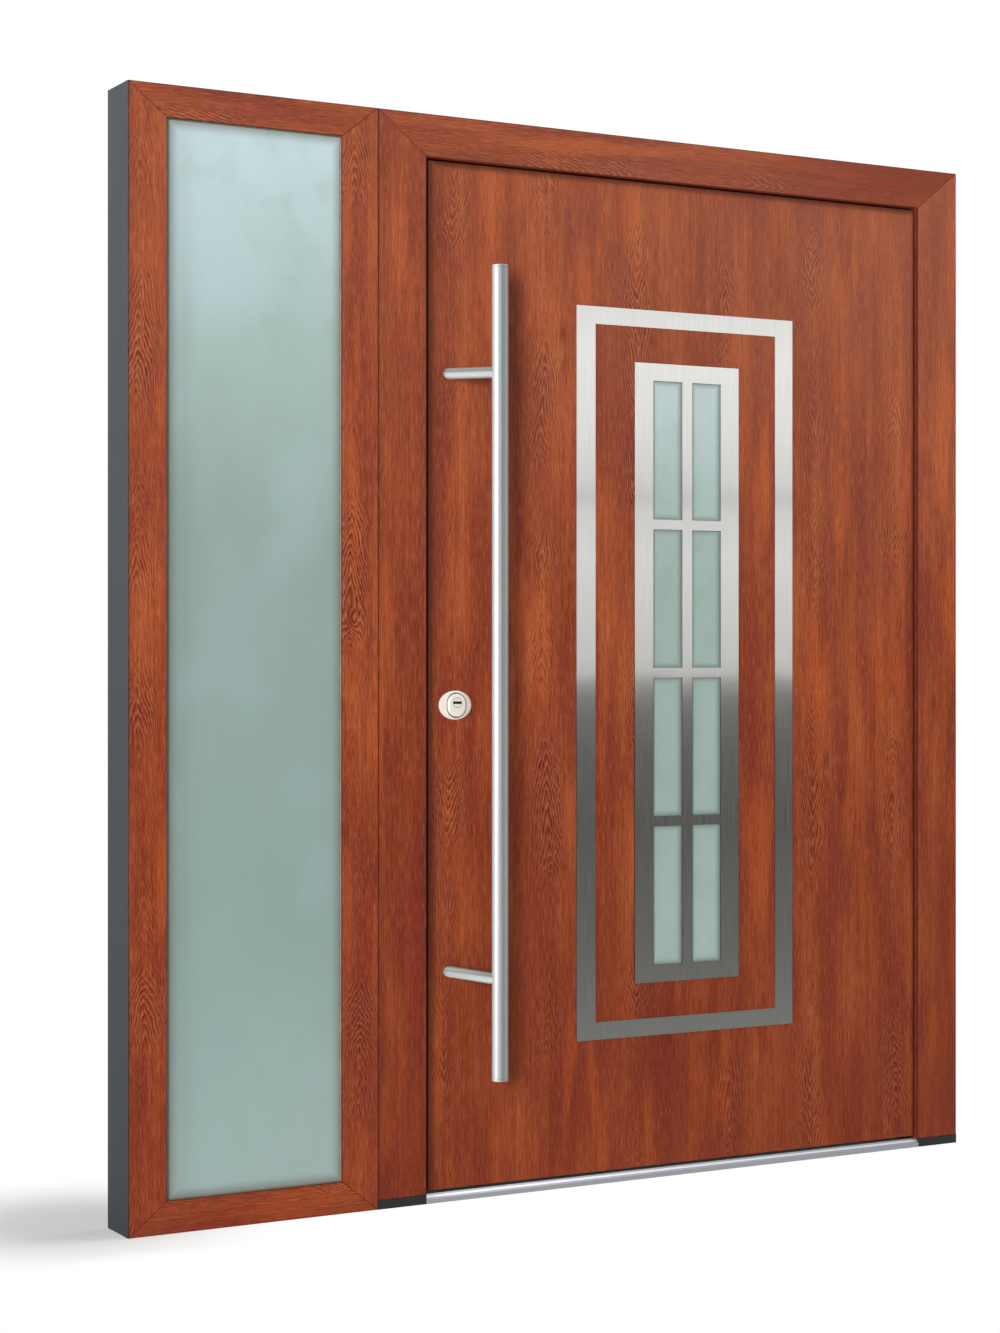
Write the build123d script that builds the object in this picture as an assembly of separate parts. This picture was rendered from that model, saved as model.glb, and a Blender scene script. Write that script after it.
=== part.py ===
from build123d import *
import math
import os

# Exterior entrance door with a fixed glazed sidelight, in millimetres.
# X runs to the right seen from outside, Y from outside to inside and Z up.
# The origin is on the wall face of the hinge post, at floor level, half way through the frame's depth.

# Overall frame
OVERALL_HEIGHT = 2100.0
FRAME_DEPTH = 105.0
DOOR_FRAME_WIDTH = 1395.0
SIDELIGHT_WIDTH = 505.0
EDGE_EASE = 1.0

# Door frame section
POST_FACE = 103.0
HEAD_FACE = 82.0
LIP_DEPTH = 48.0
REBATE_STEP = 18.0
FOOT_HEIGHT = 18.0

# Threshold section
THRESHOLD_HEIGHT = 18.0
THRESHOLD_NOSE = 9.0
THRESHOLD_SLOPE_RUN = 8.0
THRESHOLD_GROOVE_WIDTH = 6.0
THRESHOLD_GROOVE_DEPTH = 4.0
THRESHOLD_BACK_EASE = 5.0

# Sidelight section
SIDE_STILE_FACE = 75.0
SIDE_RAIL_FACE = 60.0
SIDE_GLASS_SETBACK = 10.0
SIDE_GLASS_BITE = 12.0
BEAD_DEPTH = 28.0
BEAD_SLOPE = 8.0

# Insulating glass
PANE_THICKNESS = 6.0
PANE_SPACING = 16.0
SPACER_WIDTH = 9.0
GLASS_EDGE_GAP = 3.0

# Leaf section
LEAF_RECESS = 10.0
LEAF_INNER_RECESS = 5.0
SKIN_THICKNESS = 3.0
RUN_GAP = 5.5
SWING_ALLOWANCE = 3.0
SEAL_THICKNESS = 3.0
SEAL_WIDTH = 9.0
DROP_SEAL_WIDTH = 12.0
DROP_SEAL_HEIGHT = 16.0
DROP_SEAL_END = 20.0

# Steel inlays and the window grid
PANEL_RISE = 3.0
PANEL_SHIFT = 7.0
RING_WIDTH = 524.0
RING_HEIGHT = 1468.0
RING_SIDE = 44.0
RING_END = 35.0
INLAY_THICKNESS = 1.5
GRID_THICKNESS = 2.5
GRID_COLUMNS = 2
GRID_ROWS = 4
LIGHT_WIDTH = 70.0
LIGHT_HEIGHT = 281.0
BAR_UPRIGHT = 24.0
BAR_LEVEL = 20.0
GRID_SIDE_MARGIN = 44.0
GRID_END_MARGIN = 35.0
WINDOW_MARGIN = 12.0
WINDOW_BITE = 12.0
LINER_FLANGE = 22.0
LINER_FLANGE_THICKNESS = 3.0

# Pull handle
PULL_DIAMETER = 32.0
PULL_LENGTH = 1574.0
PULL_RISE = 5.0
PULL_REACH = 71.0
PULL_BACKSET = 49.0
PULL_EDGE = 1.2
PULL_CAP = 5.0
PULL_GROOVE = 0.7
STANDOFF_DIAMETER = 22.0
STANDOFF_INSET = 207.0
STANDOFF_ANGLE = 45.0
LOWER_STANDOFF_DROP = 12.0

# Lock cylinder with its outside shield
CYLINDER_BACKSET = 58.0
CYLINDER_LEVEL = 960.0
ROSETTE_WIDTH = 71.0
ROSETTE_HEIGHT = 56.0
ROSETTE_THICKNESS = 5.0
ROSETTE_EDGE_RISE = 2.0
ROSETTE_EDGE_RUN = 3.0
SHIELD_WIDTH = 37.0
SHIELD_HEIGHT = 45.0
SHIELD_THICKNESS = 7.0
SHIELD_EDGE_RISE = 1.5
SHIELD_EDGE_RUN = 1.5
PLUG_RADIUS = 10.0
PLUG_RISE = 5.0
PLUG_CLEARANCE = 0.05
PLUG_BACK_GAP = 0.3
PLUG_EDGE = 0.8
KEYWAY_LENGTH = 17.0
KEYWAY_WIDTH = 3.5
KEYWAY_DEPTH = 6.0

# Inside lever and rosettes
LEVER_RISE = 92.0
LEVER_DIAMETER = 19.0
LEVER_LENGTH = 132.0
LEVER_REACH = 56.0
LEVER_BEND = 20.0
LEVER_END_EDGE = 1.5
INNER_ROSETTE_RADIUS = 27.0
INNER_ROSETTE_THICKNESS = 8.0
INNER_ROSETTE_EDGE = 2.0
LEVER_NECK_GAP = 0.3
INNER_CYLINDER_RADIUS = 8.5
INNER_CYLINDER_TAIL = 10.0
INNER_CYLINDER_HEIGHT = 33.0
INNER_CYLINDER_PROUD = 3.0
INNER_KEYWAY_HEIGHT = 9.0
INNER_KEYWAY_WIDTH = 2.6
INNER_KEYWAY_DEPTH = 7.0

# Multi-point lock plates
LOCK_PLATE_END = 145.0
LOCK_PLATE_WIDTH = 22.0
LOCK_PLATE_THICKNESS = 3.0
LATCH_WIDTH = 13.0
LATCH_HEIGHT = 30.0
BOLT_HEIGHT = 44.0
HOOK_HEIGHT = 60.0
HOOK_INSET = 210.0
BOLT_DROP = 70.0
BOLT_PLAY = 0.5

# Barrel hinges
HINGE_RADIUS = 11.0
HINGE_STANDOFF = 2.0
HINGE_HALF_HEIGHT = 55.0
HINGE_JOINT_GAP = 1.0
HINGE_END_DISTANCE = 230.0
HINGE_PLATE_WIDTH = 45.0
HINGE_PLATE_THICKNESS = 4.0
HINGE_PLATE_START = 3.0
HINGE_NECK = 9.0
HINGE_PIN_RADIUS = 6.0
HINGE_PIN_LENGTH = 42.0
HINGE_PIN_CLEARANCE = 0.05
HINGE_BORE_END = 2.0

# Places worked out from the driving sizes
OUTSIDE_Y = -FRAME_DEPTH / 2
INSIDE_Y = FRAME_DEPTH / 2
DOOR_LEFT = -DOOR_FRAME_WIDTH
SIDE_LEFT = DOOR_LEFT - SIDELIGHT_WIDTH
POST_REAR = POST_FACE - REBATE_STEP
HEAD_REAR = HEAD_FACE * POST_REAR / POST_FACE
LIP_BACK_Y = OUTSIDE_Y + LIP_DEPTH

OPENING_LEFT = DOOR_LEFT + POST_FACE
OPENING_RIGHT = -POST_FACE
OPENING_TOP = OVERALL_HEIGHT - HEAD_FACE
REBATE_LEFT = DOOR_LEFT + POST_REAR
REBATE_RIGHT = -POST_REAR
REBATE_TOP = OVERALL_HEIGHT - HEAD_REAR

LOCK_GAP = RUN_GAP + SWING_ALLOWANCE
LEAF_BOTTOM = THRESHOLD_HEIGHT + RUN_GAP
FACE_LEFT = OPENING_LEFT + LOCK_GAP
FACE_RIGHT = OPENING_RIGHT - RUN_GAP
FACE_TOP = OPENING_TOP - RUN_GAP
FLANGE_LEFT = REBATE_LEFT + LOCK_GAP
FLANGE_RIGHT = REBATE_RIGHT - RUN_GAP
FLANGE_TOP = REBATE_TOP - RUN_GAP

LEAF_OUTER_Y = OUTSIDE_Y + LEAF_RECESS
LEAF_INNER_Y = INSIDE_Y - LEAF_INNER_RECESS
CORE_FRONT_Y = LEAF_OUTER_Y + SKIN_THICKNESS
CORE_BACK_Y = LEAF_INNER_Y - SKIN_THICKNESS
FLANGE_Y = LIP_BACK_Y + RUN_GAP + SEAL_THICKNESS
EDGE_Y = (FLANGE_Y + CORE_BACK_Y) / 2

LEAF_MIDDLE = (LEAF_BOTTOM + FACE_TOP) / 2
PANEL_X = (FACE_LEFT + FACE_RIGHT) / 2 + PANEL_SHIFT
PANEL_LEVEL = LEAF_MIDDLE + PANEL_RISE
GLASS_PACK = 2 * PANE_THICKNESS + PANE_SPACING
PULL_FOOT_X = FACE_LEFT + PULL_BACKSET
PULL_X = PULL_FOOT_X + PULL_REACH / math.tan(math.radians(STANDOFF_ANGLE))
PULL_Y = LEAF_OUTER_Y - PULL_REACH
PULL_LEVEL = LEAF_MIDDLE + PULL_RISE
STANDOFF_SPREAD = PULL_LENGTH / 2 - STANDOFF_INSET
CYLINDER_X = FACE_LEFT + CYLINDER_BACKSET
PLUG_Z = CYLINDER_LEVEL + PLUG_RISE
LOCK_PLATE_LENGTH = FACE_TOP - LEAF_BOTTOM - 2 * LOCK_PLATE_END
HOOK_SPREAD = LOCK_PLATE_LENGTH / 2 - HOOK_INSET
HINGE_X = (FLANGE_RIGHT + REBATE_RIGHT) / 2
HINGE_Y = INSIDE_Y + HINGE_STANDOFF + HINGE_RADIUS
HINGE_LEVELS = {
    "lower": LEAF_BOTTOM + HINGE_END_DISTANCE,
    "middle": (LEAF_BOTTOM + FLANGE_TOP) / 2,
    "upper": FLANGE_TOP - HINGE_END_DISTANCE,
}

nodes = {}


def rect(x_low, x_high, z_low, z_high):
    """A rectangle in the plane of the door."""
    return Pos((x_low + x_high) / 2, (z_low + z_high) / 2) * Rectangle(x_high - x_low, z_high - z_low)


def centred_rect(x, z, width, height):
    """A rectangle in the plane of the door, about its middle."""
    return Pos(x, z) * Rectangle(width, height)


def polygon(*points):
    """A straight-sided outline through the given corners."""
    return Polygon(*points, align=None)


def slab(outline, y_front, y_back):
    """An outline in the plane of the door, as thick as the two depths are apart."""
    return extrude(Plane.XZ.offset(-y_back) * outline, y_back - y_front)


def upright(plan, z_low, z_high):
    """A plan outline carried straight up between two levels."""
    return extrude(Plane.XY.offset(z_low) * plan, z_high - z_low)


def on_face(part, y):
    """The edges of a part that lie wholly in one plane of the door's depth."""
    return part.edges().filter_by(Axis.Y, reverse=True).filter_by(
        lambda edge: all(abs(vertex.Y - y) < 1e-6 for vertex in edge.vertices())
    )


def eased(part):
    """A frame member with its outside corners eased, which leaves a fine line at each joint."""
    return chamfer(on_face(part, OUTSIDE_Y), EDGE_EASE)


def mitred(ring, x_low, x_high, z_low, z_high, side, top, bottom):
    """A rectangular ring cut along its mitres into its members."""
    inner_left, inner_right = x_low + side, x_high - side
    inner_bottom, inner_top = z_low + bottom, z_high - top
    wedges = {
        "left": polygon(
            (x_low, z_low), (inner_left, inner_bottom), (inner_left, inner_top), (x_low, z_high)
        ),
        "right": polygon(
            (x_high, z_low), (x_high, z_high), (inner_right, inner_top), (inner_right, inner_bottom)
        ),
        "top": polygon(
            (x_low, z_high), (inner_left, inner_top), (inner_right, inner_top), (x_high, z_high)
        ),
    }
    if bottom > 0:
        wedges["bottom"] = polygon(
            (x_low, z_low), (x_high, z_low), (inner_right, inner_bottom), (inner_left, inner_bottom)
        )
    return {name: ring & slab(wedge, OUTSIDE_Y, INSIDE_Y) for name, wedge in wedges.items()}


def glass_unit(name, x, z, width, height, y_front):
    """An insulating unit of two panes with a spacer bar round the gap between them."""
    sheet = centred_rect(x, z, width, height)
    gap = centred_rect(x, z, width - 2 * SPACER_WIDTH, height - 2 * SPACER_WIDTH)
    y_gap = y_front + PANE_THICKNESS
    y_inner = y_gap + PANE_SPACING
    nodes[f"{name}_outer_pane"] = slab(sheet, y_front, y_gap)
    nodes[f"{name}_spacer"] = slab(sheet - gap, y_gap, y_inner)
    nodes[f"{name}_inner_pane"] = slab(sheet, y_inner, y_inner + PANE_THICKNESS)


def lock_openings(play):
    """The latch, bolt and hook openings of a lock plate, in its own plane."""
    latch = Pos(EDGE_Y, CYLINDER_LEVEL + LEVER_RISE) * Rectangle(LATCH_WIDTH - play, LATCH_HEIGHT - play)
    bolt = Pos(EDGE_Y, CYLINDER_LEVEL - BOLT_DROP) * Rectangle(LATCH_WIDTH - play, BOLT_HEIGHT - play)
    hooks = [
        Pos(EDGE_Y, LEAF_MIDDLE + side * HOOK_SPREAD) * Rectangle(LATCH_WIDTH - play, HOOK_HEIGHT - play)
        for side in (-1, 1)
    ]
    return [latch, bolt, *hooks]


def lock_plate_blank(x_low):
    """The full round-ended strip of a lock plate, set into an edge that faces along X."""
    strip = Pos(EDGE_Y, LEAF_MIDDLE) * Rot(0, 0, 90) * SlotOverall(LOCK_PLATE_LENGTH, LOCK_PLATE_WIDTH)
    return extrude(Plane.YZ.offset(x_low) * strip, LOCK_PLATE_THICKNESS)


def lock_plate(x_low):
    """A lock plate with its openings cut through."""
    plate = lock_plate_blank(x_low)
    for opening in lock_openings(0):
        plate -= extrude(Plane.YZ.offset(x_low) * opening, LOCK_PLATE_THICKNESS)
    return plate


# Door frame: two posts and a head, one stepped section mitred at the top corners.
# The outer lip stands in front of the leaf and the deeper rebate behind it takes the leaf's flange.
frame_front = rect(DOOR_LEFT, 0, FOOT_HEIGHT, OVERALL_HEIGHT) - rect(
    OPENING_LEFT, OPENING_RIGHT, FOOT_HEIGHT, OPENING_TOP
)
frame_back = rect(DOOR_LEFT, 0, FOOT_HEIGHT, OVERALL_HEIGHT) - rect(
    REBATE_LEFT, REBATE_RIGHT, FOOT_HEIGHT, REBATE_TOP
)
door_frame = slab(frame_front, OUTSIDE_Y, LIP_BACK_Y) + slab(frame_back, LIP_BACK_Y, INSIDE_Y)
members = mitred(door_frame, DOOR_LEFT, 0, FOOT_HEIGHT, OVERALL_HEIGHT, POST_FACE, HEAD_FACE, 0)
nodes["lock_post"] = eased(members["left"]) - lock_plate_blank(REBATE_LEFT - LOCK_PLATE_THICKNESS)
nodes["hinge_post"] = eased(members["right"])
nodes["frame_head"] = eased(members["top"])

# Plastic feet: each closes the bottom of a post with the post's own stepped plan.
lock_foot_plan = polygon(
    (DOOR_LEFT, OUTSIDE_Y), (OPENING_LEFT, OUTSIDE_Y), (OPENING_LEFT, LIP_BACK_Y),
    (REBATE_LEFT, LIP_BACK_Y), (REBATE_LEFT, INSIDE_Y), (DOOR_LEFT, INSIDE_Y),
)
hinge_foot_plan = polygon(
    (0, OUTSIDE_Y), (0, INSIDE_Y), (REBATE_RIGHT, INSIDE_Y),
    (REBATE_RIGHT, LIP_BACK_Y), (OPENING_RIGHT, LIP_BACK_Y), (OPENING_RIGHT, OUTSIDE_Y),
)
nodes["lock_post_foot"] = upright(lock_foot_plan, 0, FOOT_HEIGHT)
nodes["hinge_post_foot"] = upright(hinge_foot_plan, 0, FOOT_HEIGHT)

# Threshold: an extruded sill with a sloping nose and a drainage groove under the leaf.
groove_y = LIP_BACK_Y
threshold_section = polygon(
    (INSIDE_Y, 0),
    (INSIDE_Y, THRESHOLD_HEIGHT - THRESHOLD_BACK_EASE),
    (INSIDE_Y - THRESHOLD_BACK_EASE, THRESHOLD_HEIGHT),
    (groove_y + THRESHOLD_GROOVE_WIDTH, THRESHOLD_HEIGHT),
    (groove_y + THRESHOLD_GROOVE_WIDTH, THRESHOLD_HEIGHT - THRESHOLD_GROOVE_DEPTH),
    (groove_y, THRESHOLD_HEIGHT - THRESHOLD_GROOVE_DEPTH),
    (groove_y, THRESHOLD_HEIGHT),
    (OUTSIDE_Y + THRESHOLD_SLOPE_RUN, THRESHOLD_HEIGHT),
    (OUTSIDE_Y, THRESHOLD_NOSE),
    (OUTSIDE_Y, 0),
)
threshold = extrude(Plane.YZ.offset(REBATE_LEFT) * threshold_section, REBATE_RIGHT - REBATE_LEFT)
lip_height = max(FOOT_HEIGHT, THRESHOLD_HEIGHT)
threshold -= slab(rect(REBATE_LEFT, OPENING_LEFT, 0, lip_height), OUTSIDE_Y, LIP_BACK_Y)
threshold -= slab(rect(OPENING_RIGHT, REBATE_RIGHT, 0, lip_height), OUTSIDE_Y, LIP_BACK_Y)
nodes["threshold"] = threshold

# Strike plate: the steel strip in the lock post that the bolts throw into.
nodes["strike_plate"] = lock_plate(REBATE_LEFT - LOCK_PLATE_THICKNESS)

# Sidelight: four mitred members with a shallow outer lip in front of the glass.
side_x = (SIDE_LEFT + DOOR_LEFT) / 2
side_z = OVERALL_HEIGHT / 2
side_rail_rear = SIDE_RAIL_FACE - SIDE_GLASS_BITE
side_stile_rear = SIDE_STILE_FACE * side_rail_rear / SIDE_RAIL_FACE
side_glass_y = OUTSIDE_Y + SIDE_GLASS_SETBACK
side_outline = rect(SIDE_LEFT, DOOR_LEFT, 0, OVERALL_HEIGHT)
side_daylight = rect(
    SIDE_LEFT + SIDE_STILE_FACE, DOOR_LEFT - SIDE_STILE_FACE, SIDE_RAIL_FACE, OVERALL_HEIGHT - SIDE_RAIL_FACE
)
side_pocket_width = SIDELIGHT_WIDTH - 2 * side_stile_rear
side_pocket_height = OVERALL_HEIGHT - 2 * side_rail_rear
side_pocket = centred_rect(side_x, side_z, side_pocket_width, side_pocket_height)
side_frame = slab(side_outline - side_daylight, OUTSIDE_Y, side_glass_y)
side_frame += slab(side_outline - side_pocket, side_glass_y, INSIDE_Y)
members = mitred(
    side_frame, SIDE_LEFT, DOOR_LEFT, 0, OVERALL_HEIGHT, SIDE_STILE_FACE, SIDE_RAIL_FACE, SIDE_RAIL_FACE
)
nodes["sidelight_wall_stile"] = eased(members["left"])
nodes["sidelight_door_stile"] = eased(members["right"])
nodes["sidelight_top_rail"] = eased(members["top"])
nodes["sidelight_bottom_rail"] = eased(members["bottom"])

# Sidelight glazing: an insulating unit against the lip, held from inside by sloping mitred beads.
glass_unit(
    "sidelight", side_x, side_z,
    side_pocket_width - 2 * GLASS_EDGE_GAP, side_pocket_height - 2 * GLASS_EDGE_GAP, side_glass_y,
)
bead_y = side_glass_y + GLASS_PACK
bead_back_y = bead_y + BEAD_DEPTH
bead_width = side_pocket_width - 2 * SIDE_GLASS_BITE
bead_height = side_pocket_height - 2 * SIDE_GLASS_BITE
bead_opening = loft([
    Plane.XZ.offset(-bead_y) * centred_rect(side_x, side_z, bead_width, bead_height),
    Plane.XZ.offset(-bead_back_y)
    * centred_rect(side_x, side_z, bead_width + 2 * BEAD_SLOPE, bead_height + 2 * BEAD_SLOPE),
])
bead_ring = slab(side_pocket, bead_y, bead_back_y) - bead_opening
beads = mitred(
    bead_ring,
    side_x - side_pocket_width / 2, side_x + side_pocket_width / 2,
    side_z - side_pocket_height / 2, side_z + side_pocket_height / 2,
    SIDE_GLASS_BITE, SIDE_GLASS_BITE, SIDE_GLASS_BITE,
)
for place, bead in beads.items():
    nodes[f"sidelight_{place}_bead"] = bead

# Leaf: an insulated core with a flange that laps behind the frame's lip, between two flat skins.
leaf_face = rect(FACE_LEFT, FACE_RIGHT, LEAF_BOTTOM, FACE_TOP)
leaf_flange = rect(FLANGE_LEFT, FLANGE_RIGHT, LEAF_BOTTOM, FLANGE_TOP)
lights_width = GRID_COLUMNS * LIGHT_WIDTH + (GRID_COLUMNS - 1) * BAR_UPRIGHT
lights_height = GRID_ROWS * LIGHT_HEIGHT + (GRID_ROWS - 1) * BAR_LEVEL
window_width = lights_width + 2 * WINDOW_MARGIN
window_height = lights_height + 2 * WINDOW_MARGIN
pocket_width = window_width + 2 * WINDOW_BITE
pocket_height = window_height + 2 * WINDOW_BITE
window = centred_rect(PANEL_X, PANEL_LEVEL, window_width, window_height)
window_pocket = centred_rect(PANEL_X, PANEL_LEVEL, pocket_width, pocket_height)
drop_seal_outline = rect(
    FLANGE_LEFT + DROP_SEAL_END, FLANGE_RIGHT - DROP_SEAL_END, LEAF_BOTTOM, LEAF_BOTTOM + DROP_SEAL_HEIGHT
)
drop_seal = slab(drop_seal_outline, EDGE_Y - DROP_SEAL_WIDTH / 2, EDGE_Y + DROP_SEAL_WIDTH / 2)
core = slab(leaf_face - window_pocket, CORE_FRONT_Y, FLANGE_Y)
core += slab(leaf_flange - window_pocket, FLANGE_Y, CORE_BACK_Y)
core -= lock_plate_blank(FLANGE_LEFT)
nodes["leaf_core"] = core - drop_seal
nodes["leaf_outer_skin"] = slab(leaf_face - window, LEAF_OUTER_Y, CORE_FRONT_Y)
nodes["leaf_inner_skin"] = slab(leaf_flange - window_pocket, CORE_BACK_Y, LEAF_INNER_Y)
nodes["leaf_drop_seal"] = drop_seal

# Leaf seal: a rubber strip on the front of the flange, up both sides and across the top.
seal_outline = rect(FACE_LEFT - SEAL_WIDTH, FACE_RIGHT + SEAL_WIDTH, LEAF_BOTTOM, FACE_TOP + SEAL_WIDTH)
nodes["leaf_seal"] = slab(seal_outline - leaf_face, FLANGE_Y - SEAL_THICKNESS, FLANGE_Y)

# Steel ring inlay: a flat rectangular band bonded to the outer skin.
ring_hole = centred_rect(PANEL_X, PANEL_LEVEL, RING_WIDTH - 2 * RING_SIDE, RING_HEIGHT - 2 * RING_END)
ring = centred_rect(PANEL_X, PANEL_LEVEL, RING_WIDTH, RING_HEIGHT) - ring_hole
nodes["steel_ring"] = slab(ring, LEAF_OUTER_Y - INLAY_THICKNESS, LEAF_OUTER_Y)

# Steel window grid: one plate with two columns of four lights cut through it.
grid_plate = centred_rect(
    PANEL_X, PANEL_LEVEL, lights_width + 2 * GRID_SIDE_MARGIN, lights_height + 2 * GRID_END_MARGIN
)
light_places = GridLocations(LIGHT_WIDTH + BAR_UPRIGHT, LIGHT_HEIGHT + BAR_LEVEL, GRID_COLUMNS, GRID_ROWS)
for place in light_places:
    grid_plate -= Pos(PANEL_X, PANEL_LEVEL) * place * Rectangle(LIGHT_WIDTH, LIGHT_HEIGHT)
nodes["steel_window_grid"] = slab(grid_plate, LEAF_OUTER_Y - GRID_THICKNESS, LEAF_OUTER_Y)

# Leaf glazing: an insulating unit behind the outer skin, kept in place by a flanged inside liner.
glass_unit(
    "leaf", PANEL_X, PANEL_LEVEL,
    pocket_width - 2 * GLASS_EDGE_GAP, pocket_height - 2 * GLASS_EDGE_GAP, CORE_FRONT_Y,
)
liner_flange = centred_rect(
    PANEL_X, PANEL_LEVEL, pocket_width + 2 * LINER_FLANGE, pocket_height + 2 * LINER_FLANGE
)
liner = slab(window_pocket - window, CORE_FRONT_Y + GLASS_PACK, LEAF_INNER_Y)
liner += slab(liner_flange - window, LEAF_INNER_Y, LEAF_INNER_Y + LINER_FLANGE_THICKNESS)
nodes["leaf_window_liner"] = liner

# Pull handle: a long round tube with a cap pressed into each end, the joint left as a fine groove.
# Two slanting posts, each coped to the tube, carry it clear of the leaf, and the lower one also slopes down.
pull_radius = PULL_DIAMETER / 2
pull_half = PULL_LENGTH / 2
pull_cap_joint = pull_half - PULL_CAP
pull_profile = polygon(
    (0, -pull_half),
    (pull_radius - PULL_EDGE, -pull_half),
    (pull_radius, -pull_half + PULL_EDGE),
    (pull_radius, -pull_cap_joint - PULL_GROOVE),
    (pull_radius - PULL_GROOVE, -pull_cap_joint),
    (pull_radius, -pull_cap_joint + PULL_GROOVE),
    (pull_radius, pull_cap_joint - PULL_GROOVE),
    (pull_radius - PULL_GROOVE, pull_cap_joint),
    (pull_radius, pull_cap_joint + PULL_GROOVE),
    (pull_radius, pull_half - PULL_EDGE),
    (pull_radius - PULL_EDGE, pull_half),
    (0, pull_half),
)
pull_bar = Pos(PULL_X, PULL_Y, PULL_LEVEL) * revolve(Plane.XZ * pull_profile, Axis.Z)
for place, side, drop in (("lower", -1, LOWER_STANDOFF_DROP), ("upper", 1, 0)):
    foot = Vector(PULL_FOOT_X, LEAF_OUTER_Y, PULL_LEVEL + side * STANDOFF_SPREAD)
    slope = Vector(PULL_X - PULL_FOOT_X, PULL_Y - LEAF_OUTER_Y, -drop)
    lead = slope.normalized() * STANDOFF_DIAMETER
    rod_plane = Plane(foot - lead, z_dir=slope)
    rod = extrude(rod_plane * Circle(STANDOFF_DIAMETER / 2), slope.length + lead.length)
    behind_skin = Pos(foot.X, LEAF_OUTER_Y + STANDOFF_DIAMETER, foot.Z) * Box(
        4 * STANDOFF_DIAMETER, 2 * STANDOFF_DIAMETER, 2 * STANDOFF_DIAMETER
    )
    nodes[f"{place}_pull_standoff"] = rod - behind_skin - pull_bar
nodes["pull_bar"] = pull_bar

# Cylinder rosette, its raised shield and the key plug that turns in both. The plug's rim is bevelled, so a
# fine joint shows round it.
rosette_y = LEAF_OUTER_Y - ROSETTE_THICKNESS
shield_y = rosette_y - SHIELD_THICKNESS
plug_bore = slab(
    Pos(CYLINDER_X, PLUG_Z) * Circle(PLUG_RADIUS + PLUG_CLEARANCE), shield_y, LEAF_OUTER_Y
)
rosette = slab(
    Pos(CYLINDER_X, CYLINDER_LEVEL) * Ellipse(ROSETTE_WIDTH / 2, ROSETTE_HEIGHT / 2), rosette_y, LEAF_OUTER_Y
)
rosette_face = rosette.faces().sort_by(Axis.Y)[0]
rosette = chamfer(on_face(rosette, rosette_y), ROSETTE_EDGE_RUN, ROSETTE_EDGE_RISE, reference=rosette_face)
nodes["cylinder_rosette"] = rosette - plug_bore
shield = slab(
    Pos(CYLINDER_X, CYLINDER_LEVEL) * Rot(0, 0, 90) * SlotOverall(SHIELD_HEIGHT, SHIELD_WIDTH),
    shield_y, rosette_y,
)
shield_face = shield.faces().sort_by(Axis.Y)[0]
shield = chamfer(on_face(shield, shield_y), SHIELD_EDGE_RUN, SHIELD_EDGE_RISE, reference=shield_face)
nodes["cylinder_shield"] = shield - plug_bore
plug = slab(Pos(CYLINDER_X, PLUG_Z) * Circle(PLUG_RADIUS), shield_y, LEAF_OUTER_Y - PLUG_BACK_GAP)
plug = chamfer(on_face(plug, shield_y), PLUG_EDGE)
keyway_outline = centred_rect(CYLINDER_X, PLUG_Z, KEYWAY_LENGTH, KEYWAY_WIDTH)
keyway = slab(keyway_outline, shield_y, shield_y + KEYWAY_DEPTH)
nodes["key_plug"] = plug - keyway

# Inside lever on a round rosette: a bent bar that points towards the hinges.
lever_z = CYLINDER_LEVEL + LEVER_RISE
lever_path = FilletPolyline(
    (CYLINDER_X, LEAF_INNER_Y, lever_z),
    (CYLINDER_X, LEAF_INNER_Y + LEVER_REACH, lever_z),
    (CYLINDER_X + LEVER_LENGTH, LEAF_INNER_Y + LEVER_REACH, lever_z),
    radius=LEVER_BEND,
)
lever = sweep(Plane(lever_path @ 0, z_dir=lever_path % 0) * Circle(LEVER_DIAMETER / 2), path=lever_path)
lever_end = lever.edges().filter_by(GeomType.CIRCLE).sort_by(Axis.X)[-1]
nodes["inside_lever"] = chamfer(lever_end, LEVER_END_EDGE)
inner_rosette_y = LEAF_INNER_Y + INNER_ROSETTE_THICKNESS
lever_hole = Pos(CYLINDER_X, lever_z) * Circle(LEVER_DIAMETER / 2 + LEVER_NECK_GAP)
lever_rosette = slab(Pos(CYLINDER_X, lever_z) * Circle(INNER_ROSETTE_RADIUS), LEAF_INNER_Y, inner_rosette_y)
lever_rosette = chamfer(on_face(lever_rosette, inner_rosette_y), INNER_ROSETTE_EDGE)
nodes["lever_rosette"] = lever_rosette - slab(lever_hole, LEAF_INNER_Y, inner_rosette_y)

# Inside cylinder rosette with the end of the profile cylinder and its keyway, a little proud of it.
inner_rosette = slab(
    Pos(CYLINDER_X, CYLINDER_LEVEL) * Circle(INNER_ROSETTE_RADIUS), LEAF_INNER_Y, inner_rosette_y
)
inner_rosette = chamfer(on_face(inner_rosette, inner_rosette_y), INNER_ROSETTE_EDGE)
tail_length = INNER_CYLINDER_HEIGHT - 2 * INNER_CYLINDER_RADIUS
cylinder_end = Pos(CYLINDER_X, PLUG_Z) * Circle(INNER_CYLINDER_RADIUS)
cylinder_end += centred_rect(CYLINDER_X, PLUG_Z - tail_length / 2, INNER_CYLINDER_TAIL, tail_length)
cylinder_end += Pos(CYLINDER_X, PLUG_Z - tail_length) * Circle(INNER_CYLINDER_TAIL / 2)
cylinder_face_y = inner_rosette_y + INNER_CYLINDER_PROUD
inner_rosette += slab(cylinder_end, LEAF_INNER_Y, cylinder_face_y)
inner_keyway = centred_rect(CYLINDER_X, PLUG_Z, INNER_KEYWAY_WIDTH, INNER_KEYWAY_HEIGHT)
inner_rosette -= slab(inner_keyway, cylinder_face_y - INNER_KEYWAY_DEPTH, cylinder_face_y)
nodes["inside_cylinder_rosette"] = inner_rosette

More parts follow.
